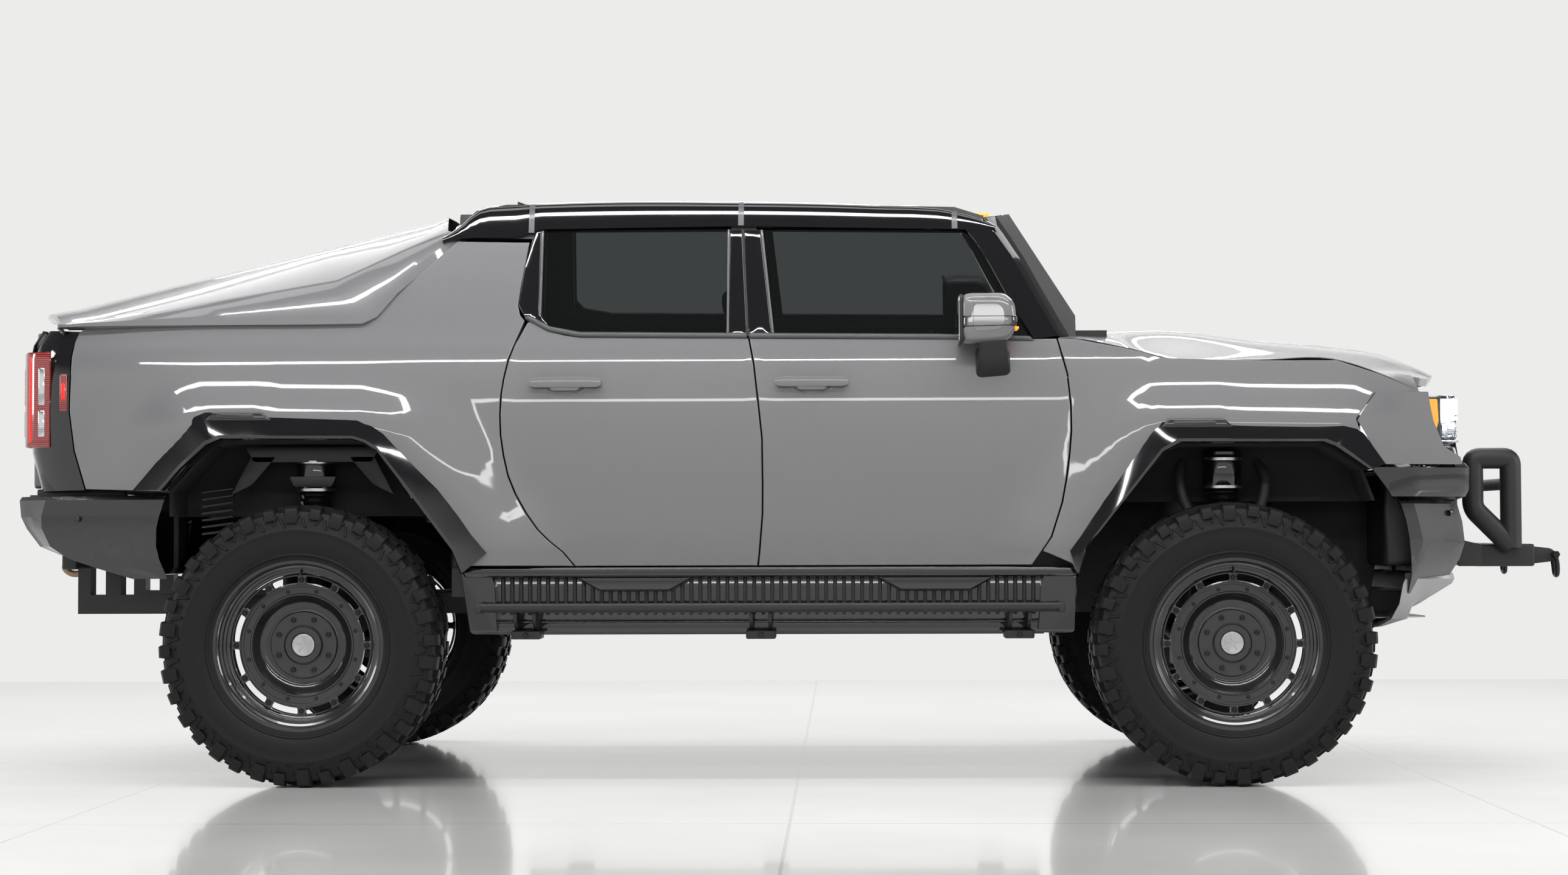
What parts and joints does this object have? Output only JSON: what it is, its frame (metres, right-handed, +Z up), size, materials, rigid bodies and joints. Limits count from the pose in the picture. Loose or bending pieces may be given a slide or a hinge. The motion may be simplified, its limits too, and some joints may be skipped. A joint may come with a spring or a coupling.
{
  "type": "lifted off-road 4x4",
  "caption": "Tall four-door off-road pickup on big mud tyres, with a sloping bed cover, bull bar, opening doors, hood, tailgate and cover, steered front wheels.",
  "frame": {"origin": "centre of the vehicle's footprint box on the ground", "axes": "+X forward, +Y to the driver's left, +Z up"},
  "size_m": [5.97, 2.42, 2.31],
  "materials": {
    "body_paint": "medium grey gloss paint",
    "gloss_black": "gloss black",
    "satin_black": "satin black moulded plastic",
    "dark_grey_metal": "satin dark grey powder coat",
    "black_metal": "textured black powder coat",
    "tinted_glass": "dark tinted",
    "clear_glass": "clear",
    "lamp_clear": "clear lens",
    "lamp_red": "red lens",
    "tyre": "matt black rubber",
    "rim": "gloss black",
    "cast_metal": "cast",
    "alloy": "satin",
    "seat_cover": "grained dark leather",
    "trim_dark": "soft grained trim"
  },
  "bodies": {
    "chassis": {"cab_shell": "gloss_black", "roof_panels": "gloss_black", "fixed_glass": "clear_glass", "front_wings": "body_paint", "bed_sides": "body_paint", "bed_tub": "satin_black", "front_trunk": "satin_black", "front_bumper": "gloss_black", "bull_bar": "black_metal", "rear_bumper": "dark_grey_metal", "headlamps": "lamp_clear", "tail_lamps": "lamp_red", "side_cladding": "gloss_black", "wheel_liners": "satin_black", "running_boards": "black_metal", "battery_pack": "alloy", "drive_units": "alloy", "subframes": "black_metal", "suspension": "cast_metal", "rear_knuckles": "cast_metal", "seats": "seat_cover", "dashboard": "trim_dark"},
    "hood": {"hood": "body_paint"},
    "tailgate": {"tailgate": "body_paint"},
    "bed_cover": {"bed_cover": "body_paint"},
    "door_front_right": {"door_front_right": "body_paint", "glass_front_right": "tinted_glass", "mirror_right": "body_paint"},
    "door_rear_right": {"door_rear_right": "body_paint", "glass_rear_right": "tinted_glass"},
    "steering_right": {"knuckle_front_right": "cast_metal"},
    "wheel_front_right": {"rim_front_right": "rim", "tyre_front_right": "tyre"},
    "wheel_rear_right": {"rim_rear_right": "rim", "tyre_rear_right": "tyre"},
    "door_front_left": {"door_front_left": "body_paint", "glass_front_left": "tinted_glass", "mirror_left": "body_paint"},
    "door_rear_left": {"door_rear_left": "body_paint", "glass_rear_left": "tinted_glass"},
    "steering_left": {"knuckle_front_left": "cast_metal"},
    "wheel_front_left": {"rim_front_left": "rim", "tyre_front_left": "tyre"},
    "wheel_rear_left": {"rim_rear_left": "rim", "tyre_rear_left": "tyre"}
  },
  "joints": [
    {"name": "door_front_right_hinge", "type": "hinge", "parent": "chassis", "child": "door_front_right", "pos_m": [1.029, -1.044, 1.2], "axis": [0, 0, 1], "range_deg": [0, 65]},
    {"name": "door_front_left_hinge", "type": "hinge", "parent": "chassis", "child": "door_front_left", "pos_m": [1.029, 1.044, 1.2], "axis": [0, 0, -1], "range_deg": [0, 65]},
    {"name": "door_rear_right_hinge", "type": "hinge", "parent": "chassis", "child": "door_rear_right", "pos_m": [-0.12, -1.044, 1.2], "axis": [0, 0, 1], "range_deg": [0, 68]},
    {"name": "door_rear_left_hinge", "type": "hinge", "parent": "chassis", "child": "door_rear_left", "pos_m": [-0.12, 1.044, 1.2], "axis": [0, 0, -1], "range_deg": [0, 68]},
    {"name": "hood_hinge", "type": "hinge", "parent": "chassis", "child": "hood", "pos_m": [1.189, 0, 1.714], "axis": [0, -1, 0], "range_deg": [0, 50]},
    {"name": "tailgate_hinge", "type": "hinge", "parent": "chassis", "child": "tailgate", "pos_m": [-2.915, 0, 1.103], "axis": [0, -1, 0], "range_deg": [0, 90]},
    {"name": "bed_cover_hinge", "type": "hinge", "parent": "chassis", "child": "bed_cover", "pos_m": [-1.348, 0, 2.168], "axis": [0, 1, 0], "range_deg": [0, 35]},
    {"name": "steer_right", "type": "hinge", "parent": "chassis", "child": "steering_right", "pos_m": [1.609, -0.93, 0.52], "axis": [0, 0, 1], "range_deg": [-28, 28]},
    {"name": "steer_left", "type": "hinge", "parent": "chassis", "child": "steering_left", "pos_m": [1.609, 0.93, 0.52], "axis": [0, 0, 1], "range_deg": [-28, 28]},
    {"name": "wheel_front_right_spin", "type": "hinge", "parent": "steering_right", "child": "wheel_front_right", "pos_m": [1.609, -0.995, 0.52], "axis": [0, 1, 0], "continuous": true},
    {"name": "wheel_front_left_spin", "type": "hinge", "parent": "steering_left", "child": "wheel_front_left", "pos_m": [1.609, 0.995, 0.52], "axis": [0, 1, 0], "continuous": true},
    {"name": "wheel_rear_right_spin", "type": "hinge", "parent": "chassis", "child": "wheel_rear_right", "pos_m": [-1.835, -0.995, 0.52], "axis": [0, 1, 0], "continuous": true},
    {"name": "wheel_rear_left_spin", "type": "hinge", "parent": "chassis", "child": "wheel_rear_left", "pos_m": [-1.835, 0.995, 0.52], "axis": [0, 1, 0], "continuous": true}
  ],
  "couplings": [
    {"joint": "steer_left", "follows": "steer_right", "ratio": 1}
  ]
}
